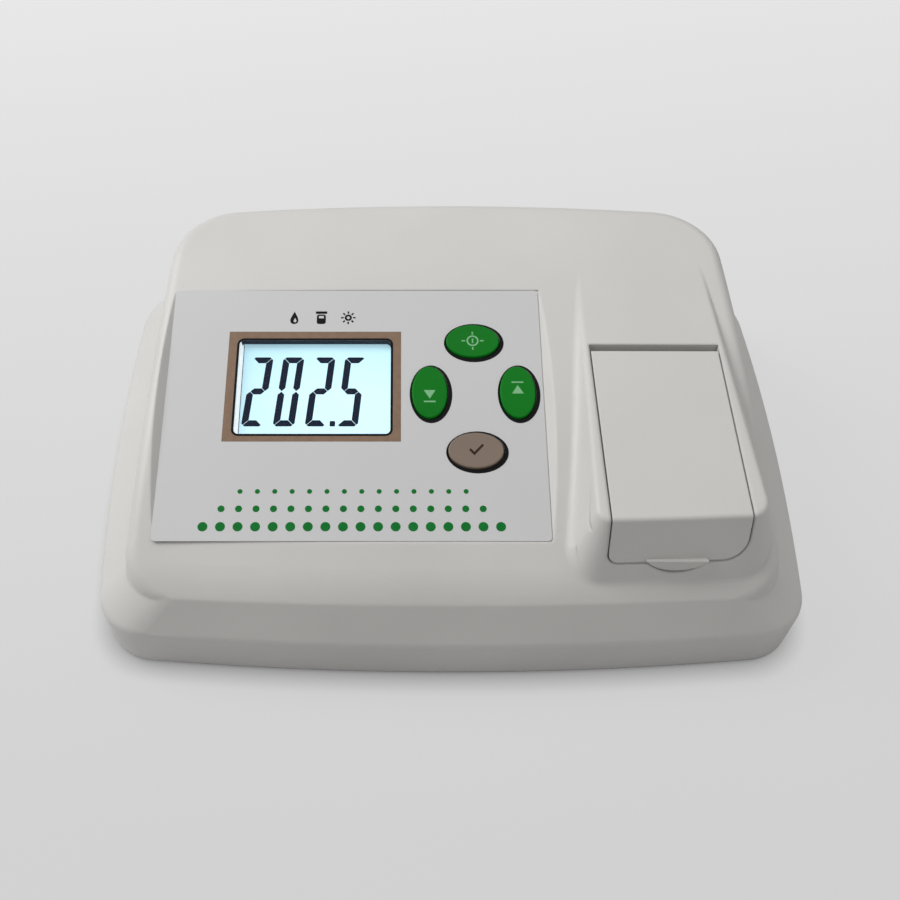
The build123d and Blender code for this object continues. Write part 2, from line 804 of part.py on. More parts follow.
def upper_housing():
    """The moulded top of the housing, with the sample bay and screw bosses in one piece."""
    shell = outer_shell()
    space = inner_space()
    panel_right = panel_left_x + panel_width
    space -= panel_box(panel_left_x - wall, panel_right + wall, -wall, panel_length + wall, panel_under, far)
    space -= lid_prism(lid_gap + wall, deck_under_z, -far, bay_rear_y + wall)
    flap_y = flap_plane().origin.Y
    half_notch = lip_width / 2 + 2 * lip_backing
    space -= box(lid_x - half_notch, lid_x + half_notch, -far, flap_y + lid_wall + 2 * lip_backing,
                 lid_bottom_z - lip_drop - lip_backing, lid_bottom_z)
    space -= box(-rear_pad_half_width - wall, rear_pad_half_width + wall, rear_pad_y - wall, far,
                 rear_pad_bottom_z - wall, rear_pad_top_z + wall)
    for x, y in housing_boss_places():
        space -= rod_z(boss_radius, x, y, cover_top_z, far)
    housing = shell - space
    for x, y in housing_boss_places():
        tip_z = cover_top_z + housing_screw_length
        housing -= rod_z(screw_radius + screw_hole_gap, x, y, cover_top_z - cut, tip_z)
    housing -= panel_recess()
    housing -= lid_prism(lid_gap, bay_floor_z, -far, bay_rear_y)
    housing -= lip_block(lip_gap, -lid_wall - lip_gap, lip_notch_reach)
    for side in (-1, 1):
        x = lid_x + side * lid_rest_offset
        y = flap_front_y(x) + lid_rest_inset
        housing += box(x - lid_rest_width / 2, x + lid_rest_width / 2, y, y + lid_wall - 2 * lid_rest_inset,
                       bay_floor_z - join, lid_bottom_z - lid_rest_gap)
    housing -= panel_slab(window_shape(window_gap), panel_under - cut, cut)
    for name in key_centres:
        housing -= panel_slab(key_ellipse(name, key_gap), panel_under - cut, cut)
    for x, v in display_boss_places():
        housing += panel_rod(small_boss_radius, x, v, lcd_back, panel_under + join)
        tip = lcd_back + board_screw_length
        housing -= panel_rod(screw_radius + screw_hole_gap, x, v, lcd_back - cut, tip)
    housing -= rod_z(well_outer_radius + well_clearance, lid_x, well_y, deck_under_z - cut, bay_floor_z + cut)
    seat_radius = well_outer_radius + seal_width + 2 * optic_gap
    housing -= rod_z(seat_radius, lid_x, well_y, bay_floor_z, bay_floor_z + seal_thickness)
    for x, y in holder_screw_places():
        tip_z = deck_under_z + holder_screw_length - holder_flange_thickness + screw_tip_room
        housing -= rod_z(screw_radius + screw_hole_gap, x, y, deck_under_z - cut, tip_z)
    for side in (-1, 1):
        edge = lid_x + side * (lid_width / 2 + lid_gap)
        low, high = sorted((edge - side * cut, edge + side * (hinge_pin_bite + screw_tip_room)))
        housing -= rod_x(hinge_pin_radius + hinge_running_gap, low, high, hinge_y, hinge_z)
    housing -= box(-rear_pad_half_width, rear_pad_half_width, rear_pad_y, far,
                   rear_pad_bottom_z, rear_pad_top_z)
    housing -= rod_y(inlet_barrel_radius + panel_cutout_gap, inlet_x, rear_pad_y - 2 * wall, far, inlet_z)
    half_w = switch_body_width / 2 + panel_cutout_gap
    half_h = switch_body_height / 2 + panel_cutout_gap
    housing -= box(rocker_x - half_w, rocker_x + half_w, rear_pad_y - 2 * wall, far,
                   rocker_z - half_h, rocker_z + half_h)
    return housing


def screw(length):
    """A cross-head screw that points up from the origin, its head below."""
    shank = Pos(0, 0, length / 2) * Cylinder(screw_radius, length)
    head = Pos(0, 0, -screw_head_height / 2) * Cylinder(screw_head_radius, screw_head_height)
    head = fillet(head.edges().sort_by(Axis.Z)[0], screw_head_rounding)
    slot = Pos(0, 0, screw_slot_depth / 2 - screw_head_height)
    head -= slot * Box(screw_slot_length, screw_slot_width, screw_slot_depth)
    head -= slot * Box(screw_slot_width, screw_slot_length, screw_slot_depth)
    return shank + head


def housing_screws():
    """The screws that hold the bottom cover to the housing."""
    seat_z = cover_bottom_z + screw_head_seat
    return [Pos(x, y, seat_z) * screw(housing_screw_length) for x, y in housing_boss_places()]


def holder_screws():
    """The screws that hold the cell holder under the sample bay."""
    seat_z = deck_under_z - holder_flange_thickness
    return [Pos(x, y, seat_z) * screw(holder_screw_length) for x, y in holder_screw_places()]


def board_screws():
    """The screws of the display board, the main board and the two optic boards."""
    seat = lcd_back - board_thickness
    screws = [panel.location * Pos(x, v, seat) * screw(board_screw_length) for x, v in display_boss_places()]
    for x, y in main_boss_places():
        screws.append(Pos(x, y, main_board_top_z) * Rot(180, 0, 0) * screw(board_screw_length))
    for x, z in optic_screw_places():
        screws.append(Pos(x, nose_front_y - board_thickness, z) * Rot(-90, 0, 0) * screw(board_screw_length))
        screws.append(Pos(x, holder_rear_y + board_thickness, z) * Rot(90, 0, 0) * screw(board_screw_length))
    return screws


def optic_screw_places():
    """Where the optic boards are screwed to the cell holder, as x and height."""
    return [(lid_x + i * optic_screw_offset, light_path_z + i * optic_screw_offset) for i in (-1, 1)]


def bottom_cover():
    """The plate that closes the housing from below, with seats for the feet and posts for the main board."""
    outer = plinth_outline(wall + cover_gap)
    cover = extrude(Pos(0, 0, cover_bottom_z) * outer, cover_thickness)
    for x, y in main_boss_places():
        cover += rod_z(small_boss_radius, x, y, cover_top_z - join, main_board_z)
        tip_z = main_board_top_z - board_screw_length - screw_tip_room
        cover -= rod_z(screw_radius + screw_hole_gap, x, y, tip_z, far)
    for x, y in foot_places():
        cover -= rod_z(foot_radius + screw_clear_gap, x, y, 0, cover_bottom_z + foot_seat)
    for x, y in housing_boss_places():
        cover -= rod_z(screw_head_radius + screw_clear_gap, x, y, 0, cover_bottom_z + screw_head_seat)
        cover -= rod_z(screw_radius + screw_clear_gap, x, y, 0, far)
    return cover


def rubber_feet():
    """The four feet."""
    height = cover_bottom_z + foot_seat
    foot = Pos(0, 0, height / 2) * Cylinder(foot_radius, height)
    foot = chamfer(foot.edges().sort_by(Axis.Z)[0], foot_chamfer)
    return [Pos(x, y, 0) * foot for x, y in foot_places()]


def front_overlay():
    """The printed label that covers the panel, with openings for the window and the keys."""
    plan = RectangleRounded(panel_width, panel_length, overlay_corner_radius)
    overlay = panel_slab(Pos(panel_left_x + panel_width / 2, panel_length / 2) * plan, -overlay_thickness, 0)
    overlay -= panel_slab(window_shape(), -cut, cut)
    for name in key_centres:
        overlay -= panel_slab(key_ellipse(name, key_gap), -cut, cut)
    return overlay


def display_window():
    """The clear pane behind the opening in the label."""
    back = -overlay_thickness - window_pane_thickness
    return panel_slab(window_shape(window_pane_lap), back, -overlay_thickness)


def lcd_slab(grow, n0, n1):
    """A slab with the display's outline."""
    plan = Pos(window_x, window_v) * Rectangle(lcd_width + 2 * grow, lcd_height + 2 * grow)
    return panel_slab(plan, n0, n1)


def lcd_holder():
    """The frame that holds the display glass and its backlight on the board."""
    return lcd_slab(lcd_gap + lcd_frame_rim, lcd_back, panel_under) - lcd_slab(lcd_gap, lcd_back - cut, 0)


def display_board():
    """The board that carries the display and the key switches."""
    middle_x = (display_board_left_x + display_board_right_x) / 2
    middle_v = (display_board_front_v + display_board_rear_v) / 2
    width = display_board_right_x - display_board_left_x
    plan = RectangleRounded(width, display_board_rear_v - display_board_front_v, board_corner_radius)
    back = lcd_back - board_thickness
    board = panel_slab(Pos(middle_x, middle_v) * plan, back, lcd_back)
    for x, v in display_boss_places():
        board -= panel_rod(screw_radius + screw_clear_gap, x, v, back - cut, lcd_back + cut)
    half_w = connector_width / 2
    half_d = connector_depth / 2
    return board + panel_box(ribbon_x - half_w, ribbon_x + half_w, ribbon_v - half_d, ribbon_v + half_d,
                             back - connector_height, back)


def key(name):
    """One key: an oval cap that stands proud of the panel, with a flange that keeps it in."""
    cap = panel_slab(key_ellipse(name), key_stem_bottom, key_proud)
    rim = cap.faces().sort_by(Axis.Z)[-1].edges()
    cap = fillet(rim, key_top_rounding)
    flange_top = panel_under - key_rest_gap
    return cap + panel_slab(key_ellipse(name, key_gap + key_flange), key_stem_bottom, flange_top)


def key_switches():
    """The bodies of the four key switches."""
    switches = []
    for x, v, turned in key_centres.values():
        half = switch_size / 2
        body = panel_box(x - half, x + half, v - half, v + half, lcd_back, switch_top)
        depth = plunger_depth + key_travel + plunger_end_room
        body -= panel_rod(plunger_radius + plunger_gap, x, v, switch_top - depth, switch_top + cut)
        switches.append(body)
    return switches


def plunger(name):
    """The moving button of one key switch."""
    x, v, turned = key_centres[name]
    return panel_rod(plunger_radius, x, v, switch_top - plunger_depth, key_stem_bottom)


def display_ribbon():
    """The flat cable between the display board and the main board."""
    back = lcd_back - board_thickness - connector_height
    start_y = panel_front_y + ribbon_v * slope_cos - back * slope_sin
    start_z = panel_front_z + ribbon_v * slope_sin + back * slope_cos - ribbon_thickness / 2
    end_z = main_board_top_z + connector_height
    middle_z = (start_z + end_z) / 2
    path = Spline(
        (start_y, start_z), (start_y + ribbon_sway, middle_z), (start_y, end_z),
        tangents=((0, -1), (0, -1)),
    )
    strip = Plane.YZ.offset(ribbon_x - ribbon_width / 2) * trace(path, ribbon_thickness)
    return extrude(strip, ribbon_width)


def main_board():
    """The main circuit board."""
    plan = RectangleRounded(main_board_width, main_board_depth, board_corner_radius)
    board = extrude(Pos(main_board_x, main_board_y, main_board_z) * plan, board_thickness)
    for x, y in main_boss_places():
        board -= rod_z(screw_radius + screw_clear_gap, x, y, 0, far)
    return board


def on_main_board(x, y, width, depth, height):
    """A block that stands on the main board."""
    base = main_board_top_z
    return box(x - width / 2, x + width / 2, y - depth / 2, y + depth / 2, base, base + height)


def main_board_parts():
    """The parts soldered to the main board."""
    back = lcd_back - board_thickness - connector_height
    ribbon_y = panel_front_y + ribbon_v * slope_cos - back * slope_sin
    chip_x = main_board_x + chip_side
    header_x = chip_x + 2 * chip_side
    rear_y = main_board_y + main_board_depth / 2 - header_depth
    parts = [
        on_main_board(ribbon_x, ribbon_y, connector_width, connector_depth, connector_height),
        on_main_board(chip_x, ribbon_y, chip_side, chip_side, chip_height),
        on_main_board(chip_x, ribbon_y + 2 * chip_side, regulator_width, regulator_depth, regulator_height),
        on_main_board(header_x, ribbon_y - chip_side, header_width, header_depth, header_height),
    ]
    for i in range(2):
        x = main_board_x - i * (header_width + header_gap)
        parts.append(on_main_board(x, rear_y, header_width, header_depth, header_height))
    for i in range(3):
        x = main_board_x - 2 * chip_side + i * 3 * capacitor_radius
        base = main_board_top_z
        parts.append(rod_z(capacitor_radius, x, ribbon_y + 2 * chip_side, base, base + capacitor_height))
    return parts


def skirt_limit():
    """The space under the lower edge of the lid's side skirts."""
    first = (-far, ridge_top(-far) - lid_skirt_depth)
    last = (far, ridge_top(far) - lid_skirt_depth)
    face = make_face(Polyline(first, last, (far, 0), (-far, 0), close=True))
    return extrude(Plane.YZ.offset(lid_x - lid_width) * face, 2 * lid_width)


def sample_lid():
    """The lid: a hollow cap with a front flap, a finger lip and two hinge ears."""
    lid = rounded_ridge() & lid_prism(0, lid_bottom_z, -far, lid_rear_y)
    space = ridge_block(lid_wall)
    half = lid_width / 2 - lid_wall
    lid -= space & box(lid_x - half, lid_x + half, -far, lid_rear_y - lid_wall, 0, far)
    lid -= space & skirt_limit()
    lid += lip_block(0, lip_root_inset - lid_wall, lip_proud)
    for side in (-1, 1):
        outside = lid_x + side * lid_width / 2
        low, high = sorted((outside, outside - side * hinge_ear_width))
        lid += rod_x(hinge_ear_radius, low, high, hinge_y, hinge_z)
        lid -= rod_x(hinge_pin_radius + hinge_press_gap, low - cut, high + cut, hinge_y, hinge_z)
    return lid


def lid_hinge_pins():
    """The two short pins that the lid turns on."""
    pins = []
    for side in (-1, 1):
        inside = lid_x + side * (lid_width / 2 - hinge_ear_width)
        outside = lid_x + side * (lid_width / 2 + lid_gap + hinge_pin_bite)
        low, high = sorted((inside, outside))
        pins.append(rod_x(hinge_pin_radius, low, high, hinge_y, hinge_z))
    return pins


def cell_holder():
    """The block with the well for the sample vial and the light path through it."""
    half = holder_side / 2
    flange_half = holder_flange_length / 2
    board_half = optic_board_side / 2
    left = lid_x - half
    right = lid_x + half
    holder = box(left, right, holder_front_y, holder_rear_y, well_base_z, deck_under_z)
    holder += box(left, right, well_y - flange_half, well_y + flange_half,
                  deck_under_z - holder_flange_thickness, deck_under_z)
    holder += rod_z(well_outer_radius, lid_x, well_y, deck_under_z - cut, bay_floor_z + well_proud)
    holder += box(lid_x - board_half, lid_x + board_half, nose_front_y, holder_front_y + cut,
                  light_path_z - board_half, light_path_z + board_half)
    holder -= rod_z(well_radius, lid_x, well_y, well_floor_z, far)
    holder -= rod_y(light_path_radius, lid_x, nose_front_y, well_y, light_path_z)
    filter_bed_y = nose_front_y + detector_length + filter_thickness
    holder -= rod_y(filter_radius + optic_gap, lid_x, nose_front_y - cut, filter_bed_y, light_path_z)
    holder -= rod_y(lamp_radius + optic_gap, lid_x, well_y, holder_rear_y + cut, light_path_z)
    flange_bed_y = holder_rear_y - lamp_flange_thickness
    holder -= rod_y(lamp_flange_radius + optic_gap, lid_x, flange_bed_y, holder_rear_y + cut, light_path_z)
    hole = screw_radius + screw_hole_gap
    depth = board_screw_length - board_thickness + screw_tip_room
    for x, z in optic_screw_places():
        holder -= rod_y(hole, x, nose_front_y - cut, nose_front_y + depth, z)
        holder -= rod_y(hole, x, holder_rear_y - depth, holder_rear_y + cut, z)
    for x, y in holder_screw_places():
        under_z = deck_under_z - holder_flange_thickness - cut
        holder -= rod_z(screw_radius + screw_clear_gap, x, y, under_z, deck_under_z + cut)
    return holder


def well_seal():
    """The soft ring round the well's mouth that keeps stray light and drips out."""
    inner = well_outer_radius + optic_gap
    top_z = bay_floor_z + seal_thickness
    ring = rod_z(inner + seal_width, lid_x, well_y, bay_floor_z, top_z)
    return ring - rod_z(inner, lid_x, well_y, bay_floor_z - cut, top_z + cut)


def lamp():
    """The light-emitting diode behind the well."""
    bed_y = holder_rear_y - lamp_flange_thickness
    tip_y = bed_y - lamp_length
    body = rod_y(lamp_radius, lid_x, tip_y + lamp_radius, bed_y + join, light_path_z)
    dome = Pos(lid_x, tip_y + lamp_radius, light_path_z) * Sphere(lamp_radius)
    return body + dome + rod_y(lamp_flange_radius, lid_x, bed_y, holder_rear_y, light_path_z)


def optic_board(front_y, rear_y):
    """A small board on the front or the rear of the cell holder."""
    half = optic_board_side / 2
    board = box(lid_x - half, lid_x + half, front_y, rear_y, light_path_z - half, light_path_z + half)
    for x, z in optic_screw_places():
        board -= rod_y(screw_radius + screw_clear_gap, x, front_y - cut, rear_y + cut, z)
    return board


def optical_filter():
    """The coloured glass disc in front of the photodiode."""
    front = nose_front_y + detector_length
    return rod_y(filter_radius, lid_x, front, front + filter_thickness, light_path_z)


def photodiode():
    """The light detector in its can."""
    return rod_y(filter_radius, lid_x, nose_front_y, nose_front_y + detector_length, light_path_z)


def dc_inlet():
    """The low-voltage inlet socket, with its centre pin and two solder tabs."""
    front = rear_pad_y + inlet_flange_thickness
    back = rear_pad_y - inlet_body_length
    inlet = rod_y(inlet_flange_radius, inlet_x, rear_pad_y, front, inlet_z)
    inlet += rod_y(inlet_barrel_radius, inlet_x, back, front, inlet_z)
    inlet -= rod_y(inlet_bore_radius, inlet_x, front - inlet_bore_depth, front + cut, inlet_z)
    pin_back = front - inlet_bore_depth - join
    inlet += rod_y(inlet_pin_radius, inlet_x, pin_back, front - inlet_pin_recess, inlet_z)
    for side in (-1, 1):
        x = inlet_x + side * inlet_barrel_radius / 2
        inlet += box(x - tab_thickness / 2, x + tab_thickness / 2, back - tab_length, back + join,
                     inlet_z - tab_width / 2, inlet_z + tab_width / 2)
    return inlet


def dc_inlet_nut():
    """The nut that holds the inlet socket from inside."""
    front = rear_pad_y - wall
    face = RegularPolygon(inlet_nut_radius, 6) - Circle(inlet_barrel_radius + screw_hole_gap)
    return Pos(inlet_x, front, inlet_z) * Rot(90, 0, 0) * extrude(face, inlet_nut_thickness)


def switch_frame():
    """The fixed body of the power switch, with its bezel and terminals."""
    front = rear_pad_y + switch_bezel_thickness
    back = rear_pad_y - switch_body_depth
    half_w = switch_bezel_width / 2
    half_h = switch_bezel_height / 2
    frame = box(rocker_x - half_w, rocker_x + half_w, rear_pad_y, front, rocker_z - half_h, rocker_z + half_h)
    frame = fillet(frame.edges().filter_by(Axis.Y), switch_bezel_radius)
    half_w = switch_body_width / 2
    half_h = switch_body_height / 2
    frame += box(rocker_x - half_w, rocker_x + half_w, back, rear_pad_y + join,
                 rocker_z - half_h, rocker_z + half_h)
    half_w = rocker_width / 2 + rocker_gap
    half_h = rocker_height / 2 + 2 * rocker_pivot_depth * math.sin(math.radians(rocker_tilt)) + rocker_gap
    frame -= box(rocker_x - half_w, rocker_x + half_w, front - rocker_cavity_depth, front + cut,
                 rocker_z - half_h, rocker_z + half_h)
    reach = rocker_width / 2 + rocker_pin_length + rocker_pin_end_room
    frame -= rod_x(rocker_pin_radius + hinge_running_gap, rocker_x - reach, rocker_x + reach,
                   rocker_pivot_y, rocker_z)
    for side in (-1, 0, 1):
        z = rocker_z + side * tab_spacing
        frame += box(rocker_x - tab_width / 2, rocker_x + tab_width / 2, back - tab_length, back + join,
                     z - tab_thickness / 2, z + tab_thickness / 2)
    return frame


def power_rocker():
    """The rocker of the power switch, at rest with its lower end pressed in."""
    end = rear_pad_y + switch_bezel_thickness + rocker_proud - rocker_pivot_y
    dip = end - rocker_height / 2 * math.tan(math.radians(rocker_tilt))
    half = rocker_height / 2
    face = make_face(Polyline(
        (end, -half), (dip, 0), (end, half), (-rocker_foot, rocker_foot), (-rocker_foot, -rocker_foot),
        close=True))
    body = extrude(Plane.YZ.offset(-rocker_width / 2) * face, rocker_width)
    reach = rocker_width / 2 + rocker_pin_length
    body += Rot(0, 90, 0) * Cylinder(rocker_pin_radius, 2 * reach)
    return Pos(rocker_x, rocker_pivot_y, rocker_z) * Rot(-rocker_tilt, 0, 0) * body


def make_all():
    """Every piece by name; identical pieces are grouped under one name."""
    pieces = {
        "upper_housing": upper_housing(),
        "bottom_cover": bottom_cover(),
        "rubber_feet": rubber_feet(),
        "housing_screws": housing_screws(),
        "front_overlay": front_overlay(),
        "display_window": display_window(),
        "lcd_glass": lcd_slab(0, panel_under - lcd_glass_thickness, panel_under),
        "lcd_backlight": lcd_slab(0, lcd_back, lcd_back + backlight_thickness),
        "lcd_holder": lcd_holder(),
        "display_board": display_board(),
        "display_ribbon": display_ribbon(),
        "key_switches": key_switches(),
        "sample_lid": sample_lid(),
        "lid_hinge_pins": lid_hinge_pins(),
        "cell_holder": cell_holder(),
        "cell_holder_screws": holder_screws(),
        "well_seal": well_seal(),
        "lamp": lamp(),
        "lamp_board": optic_board(holder_rear_y, holder_rear_y + board_thickness),
        "optical_filter": optical_filter(),
        "photodiode": photodiode(),
        "detector_board": optic_board(nose_front_y - board_thickness, nose_front_y),
        "board_screws": board_screws(),
        "main_board": main_board(),
        "main_board_parts": main_board_parts(),
        "dc_inlet": dc_inlet(),
        "dc_inlet_nut": dc_inlet_nut(),
        "switch_frame": switch_frame(),
        "power_rocker": power_rocker(),
    }
    for name in key_centres:
        pieces["key_" + name] = key(name)
        pieces["plunger_" + name] = plunger(name)
    return pieces


os.makedirs("parts", exist_ok=True)
for piece_name, shape in make_all().items():
    if isinstance(shape, list):
        shape = Compound(children=shape)
    export_step(shape, f"parts/{piece_name}.step")
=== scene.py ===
import math

import bpy
from mathutils import Matrix, Vector


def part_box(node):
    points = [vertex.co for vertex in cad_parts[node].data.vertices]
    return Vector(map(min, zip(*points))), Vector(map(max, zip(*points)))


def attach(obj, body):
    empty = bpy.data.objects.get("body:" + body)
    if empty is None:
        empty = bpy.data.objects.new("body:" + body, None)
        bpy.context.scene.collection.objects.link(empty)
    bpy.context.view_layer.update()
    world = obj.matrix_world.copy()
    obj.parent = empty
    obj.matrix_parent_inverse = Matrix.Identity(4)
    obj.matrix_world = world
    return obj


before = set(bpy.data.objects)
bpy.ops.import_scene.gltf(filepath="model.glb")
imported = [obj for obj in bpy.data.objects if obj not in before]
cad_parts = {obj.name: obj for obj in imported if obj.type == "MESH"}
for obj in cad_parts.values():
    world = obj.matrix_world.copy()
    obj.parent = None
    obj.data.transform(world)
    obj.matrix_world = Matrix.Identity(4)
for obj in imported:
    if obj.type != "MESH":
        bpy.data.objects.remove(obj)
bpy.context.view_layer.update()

# Lengths are in metres. Places on the instrument panel are in millimetres: x across the
# housing, v up the slope from the panel's front edge, n above the panel.
MM = 0.001

# Panel, read from the label that covers it
PANEL_SLOPE = math.radians(14.86)
LABEL_THICKNESS = 0.4 * MM
label_low, label_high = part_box("front_overlay")
panel_length = label_high.y - label_low.y - LABEL_THICKNESS * math.sin(PANEL_SLOPE)
panel_length /= math.cos(PANEL_SLOPE)
panel_front_z = label_high.z - panel_length * math.sin(PANEL_SLOPE)
panel_matrix = Matrix.Translation((0, label_low.y, panel_front_z)) @ Matrix.Rotation(PANEL_SLOPE, 4, "X")

# Heights above the panel, in millimetres
PRINT_HEIGHT = 0.04
GLASS_TOP = -2.9
KEY_TOP = 0.8

# Printed frame and window
LCD_FRAME = (-84.0, -18.3, 38.1, 84.1)
WINDOW = (-79.9, -22.2, 41.2, 80.3)
WINDOW_RADIUS = 1.8
WINDOW_LINE = 0.9

# Rows of printed dots: height up the panel, first and last x, count, diameter
DOT_ROWS = [
    (5.3, -88.3, 17.1, 18, 3.5),
    (12.0, -82.2, 11.0, 16, 2.5),
    (18.6, -75.9, 5.1, 14, 1.8),
]

# Keys: centre x and v, half width and half height
KEYS = {
    "key_top": (8.95, 79.7, 10.1, 7.0),
    "key_left": (-7.6, 58.0, 6.65, 10.7),
    "key_right": (25.3, 58.0, 6.65, 10.7),
    "key_bottom": (9.1, 34.35, 10.1, 7.0),
}
KEY_GAP = 0.45
KEY_RING = 1.3
KEY_RING_SHIFT = (0.5, -0.5)

# Display digits: slanted seven-segment figures
DIGIT_LEFTS = [-77.8, -66.0, -54.1, -42.4]
DIGIT_BOTTOM = 45.5
DIGIT_HEIGHT = 29.0
DIGIT_WIDTH = 8.0
DIGIT_STROKE = 2.5
DIGIT_SLANT = 0.095
DIGIT_GAP = 0.13
DIGIT_CHAMFER = 1.1
SHOWN = "2025"
LIT = {"0": "abcdef", "2": "abged", "5": "afgcd"}
POINT = (-44.8, 45.5, 2.0, 2.2)
POINT_RADIUS = 0.3

# Edges that show inside the display window, x and v ranges: a pale strip at the left that carries painted
# backlight glow, and a dark line beside it
GLASS_EDGE = (-80.6, -78.7, 41.0, 79.9)
GLASS_LINE = (-78.7, -78.45, 41.4, 79.9)

# Lining of the window's walls, painted shade on the top wall and painted backlight glow on the left wall;
# a stretch runs from one point of the window's outline to before another
LINING_THICKNESS = 0.1
LINING_BOTTOM = -2.85
LINING_HEIGHT = 2.75
LINING_PAINTED_SHADE = (11, 28)
LINING_PAINTED_GLOW = (27, 44)

# Signs above the display: place of the middle one, step from sign to sign, half their height
TITLE_X = -49.1
TITLE_V = 90.3
TITLE_STEP = 10.4
TITLE_HALF_HEIGHT = 2.8

# Rear: the rocker's tilt to each side, its pivot, half its height and how far its ends stand out;
# the rear pad, the low-voltage inlet and the height of its polarity sign
ROCKER_TILT = 8.0
ROCKER_PIVOT = (13.0, 80.4, 50.0)
ROCKER_HALF = 7.0
ROCKER_END = 5.6
PAD_Y = 83.4
INLET_X = -17.0
POLARITY_Z = 57.6

# Camera
LENS = 40.0
SENSOR = 36.0
CAMERA_PLACE = (-0.0168, -0.2562, 0.3410)
CAMERA_TILT = 38.0
CAMERA_SHIFT = 0.05

# Floor as the camera sees it: brightness in front and behind, where it changes, its share of real
# shading, and the reach of the shade round the object
FLOOR_NEAR = 0.665
FLOOR_FAR = 0.85
FLOOR_FADE = (-0.15, 0.45)
FLOOR_SHADING = 0.16
FLOOR_CONTACT = 0.009

# Light: the surroundings as the object and as the camera see them; place, size and power of each lamp
WORLD_LIGHT = 0.31
WORLD_SEEN = 0.75
LAMP_TARGET = (0, 0, 0.04)
LAMPS = {
    "key_light": ((-0.9, 0.36, 0.95), 0.7, 11.2),
    "top_light": ((0.1, 0.42, 0.8), 0.7, 1.95),
    "right_light": ((0.9, -0.3, 0.5), 0.7, 1.0),
    "left_light": ((-0.9, -0.55, 0.45), 0.7, 0.7),
}


# Materials

NOISE_LOW = 0.3
NOISE_HIGH = 0.7
BEVEL_SAMPLES = 6

HOUSING_COLOUR = (0.622, 0.613, 0.591)
GREEN = (0.001, 0.18, 0.009)
TAUPE = (0.24, 0.185, 0.147)
RESIST = (0.01, 0.11, 0.04)
RESIST_LIGHT = (0.012, 0.13, 0.05)
TRACK = (0.03, 0.2, 0.08)
DISPLAY_FACE = (0.52, 0.755, 0.855)
DISPLAY_TOP = (0.43, 0.69, 0.78)
DISPLAY_LEFT_TINT = (0.84, 0.86, 0.88)
DISPLAY_EVEN = 0.45
DISPLAY_GLOW = 0.6


def new_material(name, colour, roughness, metallic=0.0, specular=0.5):
    """A Principled material; returns it with its node tree and shader."""
    material = bpy.data.materials.new(name)
    material.use_nodes = True
    tree = material.node_tree
    shader = tree.nodes["Principled BSDF"]
    shader.inputs["Base Color"].default_value = (*colour, 1)
    shader.inputs["Roughness"].default_value = roughness
    shader.inputs["Metallic"].default_value = metallic
    shader.inputs["Specular IOR Level"].default_value = specular
    return material, tree, shader


def object_noise(tree, scale, detail=3.0, stretch=(1, 1, 1)):
    """Noise that is fixed to the object; scale is in cycles per metre."""
    coordinates = tree.nodes.new("ShaderNodeTexCoord")
    mapping = tree.nodes.new("ShaderNodeMapping")
    mapping.inputs["Scale"].default_value = stretch
    noise = tree.nodes.new("ShaderNodeTexNoise")
    noise.inputs["Scale"].default_value = scale
    noise.inputs["Detail"].default_value = detail
    tree.links.new(coordinates.outputs["Object"], mapping.inputs["Vector"])
    tree.links.new(mapping.outputs["Vector"], noise.inputs["Vector"])
    return noise.outputs["Fac"]


def tint(tree, shader, factor, low, high):
    """Colour that drifts between two tones."""
    ramp = tree.nodes.new("ShaderNodeValToRGB")
    ramp.color_ramp.elements[0].position = NOISE_LOW
    ramp.color_ramp.elements[0].color = (*low, 1)
    ramp.color_ramp.elements[1].position = NOISE_HIGH
    ramp.color_ramp.elements[1].color = (*high, 1)
    tree.links.new(factor, ramp.inputs["Fac"])
    tree.links.new(ramp.outputs["Color"], shader.inputs["Base Color"])


def vary_roughness(tree, shader, factor, low, high):
    """Roughness that follows a noise."""
    span = tree.nodes.new("ShaderNodeMapRange")
    span.inputs["From Min"].default_value = NOISE_LOW
    span.inputs["From Max"].default_value = NOISE_HIGH
    span.inputs["To Min"].default_value = low
    span.inputs["To Max"].default_value = high
    tree.links.new(factor, span.inputs["Value"])
    tree.links.new(span.outputs["Result"], shader.inputs["Roughness"])


def bump(tree, shader, factor, depth, strength=1.0, edge_radius=0.0):
    """A fine relief of the given depth; edge_radius also softens the look of sharp edges."""
    node = tree.nodes.new("ShaderNodeBump")
    node.inputs["Strength"].default_value = strength
    node.inputs["Distance"].default_value = depth
    tree.links.new(factor, node.inputs["Height"])
    if edge_radius:
        bevel = tree.nodes.new("ShaderNodeBevel")
        bevel.samples = BEVEL_SAMPLES
        bevel.inputs["Radius"].default_value = edge_radius
        tree.links.new(bevel.outputs["Normal"], node.inputs["Normal"])
    tree.links.new(node.outputs["Normal"], shader.inputs["Normal"])


def moulded_plastic(
    name, colour, roughness, grain=2600.0, depth=0.00006, edge_radius=0.0005, drift=0.03, specular=0.4,
):
    """Moulded plastic: a fine spark-eroded grain, a slow drift of tone, softened edges."""
    material, tree, shader = new_material(name, colour, roughness, 0.0, specular)
    slow = object_noise(tree, 18.0, 2.0)
    low = tuple(c * (1 - drift) for c in colour)
    high = tuple(min(1.0, c * (1 + drift)) for c in colour)
    tint(tree, shader, slow, low, high)
    vary_roughness(tree, shader, slow, roughness * 0.92, min(1.0, roughness * 1.08))
    bump(tree, shader, object_noise(tree, grain, 2.0), depth, 0.5, edge_radius)
    return material


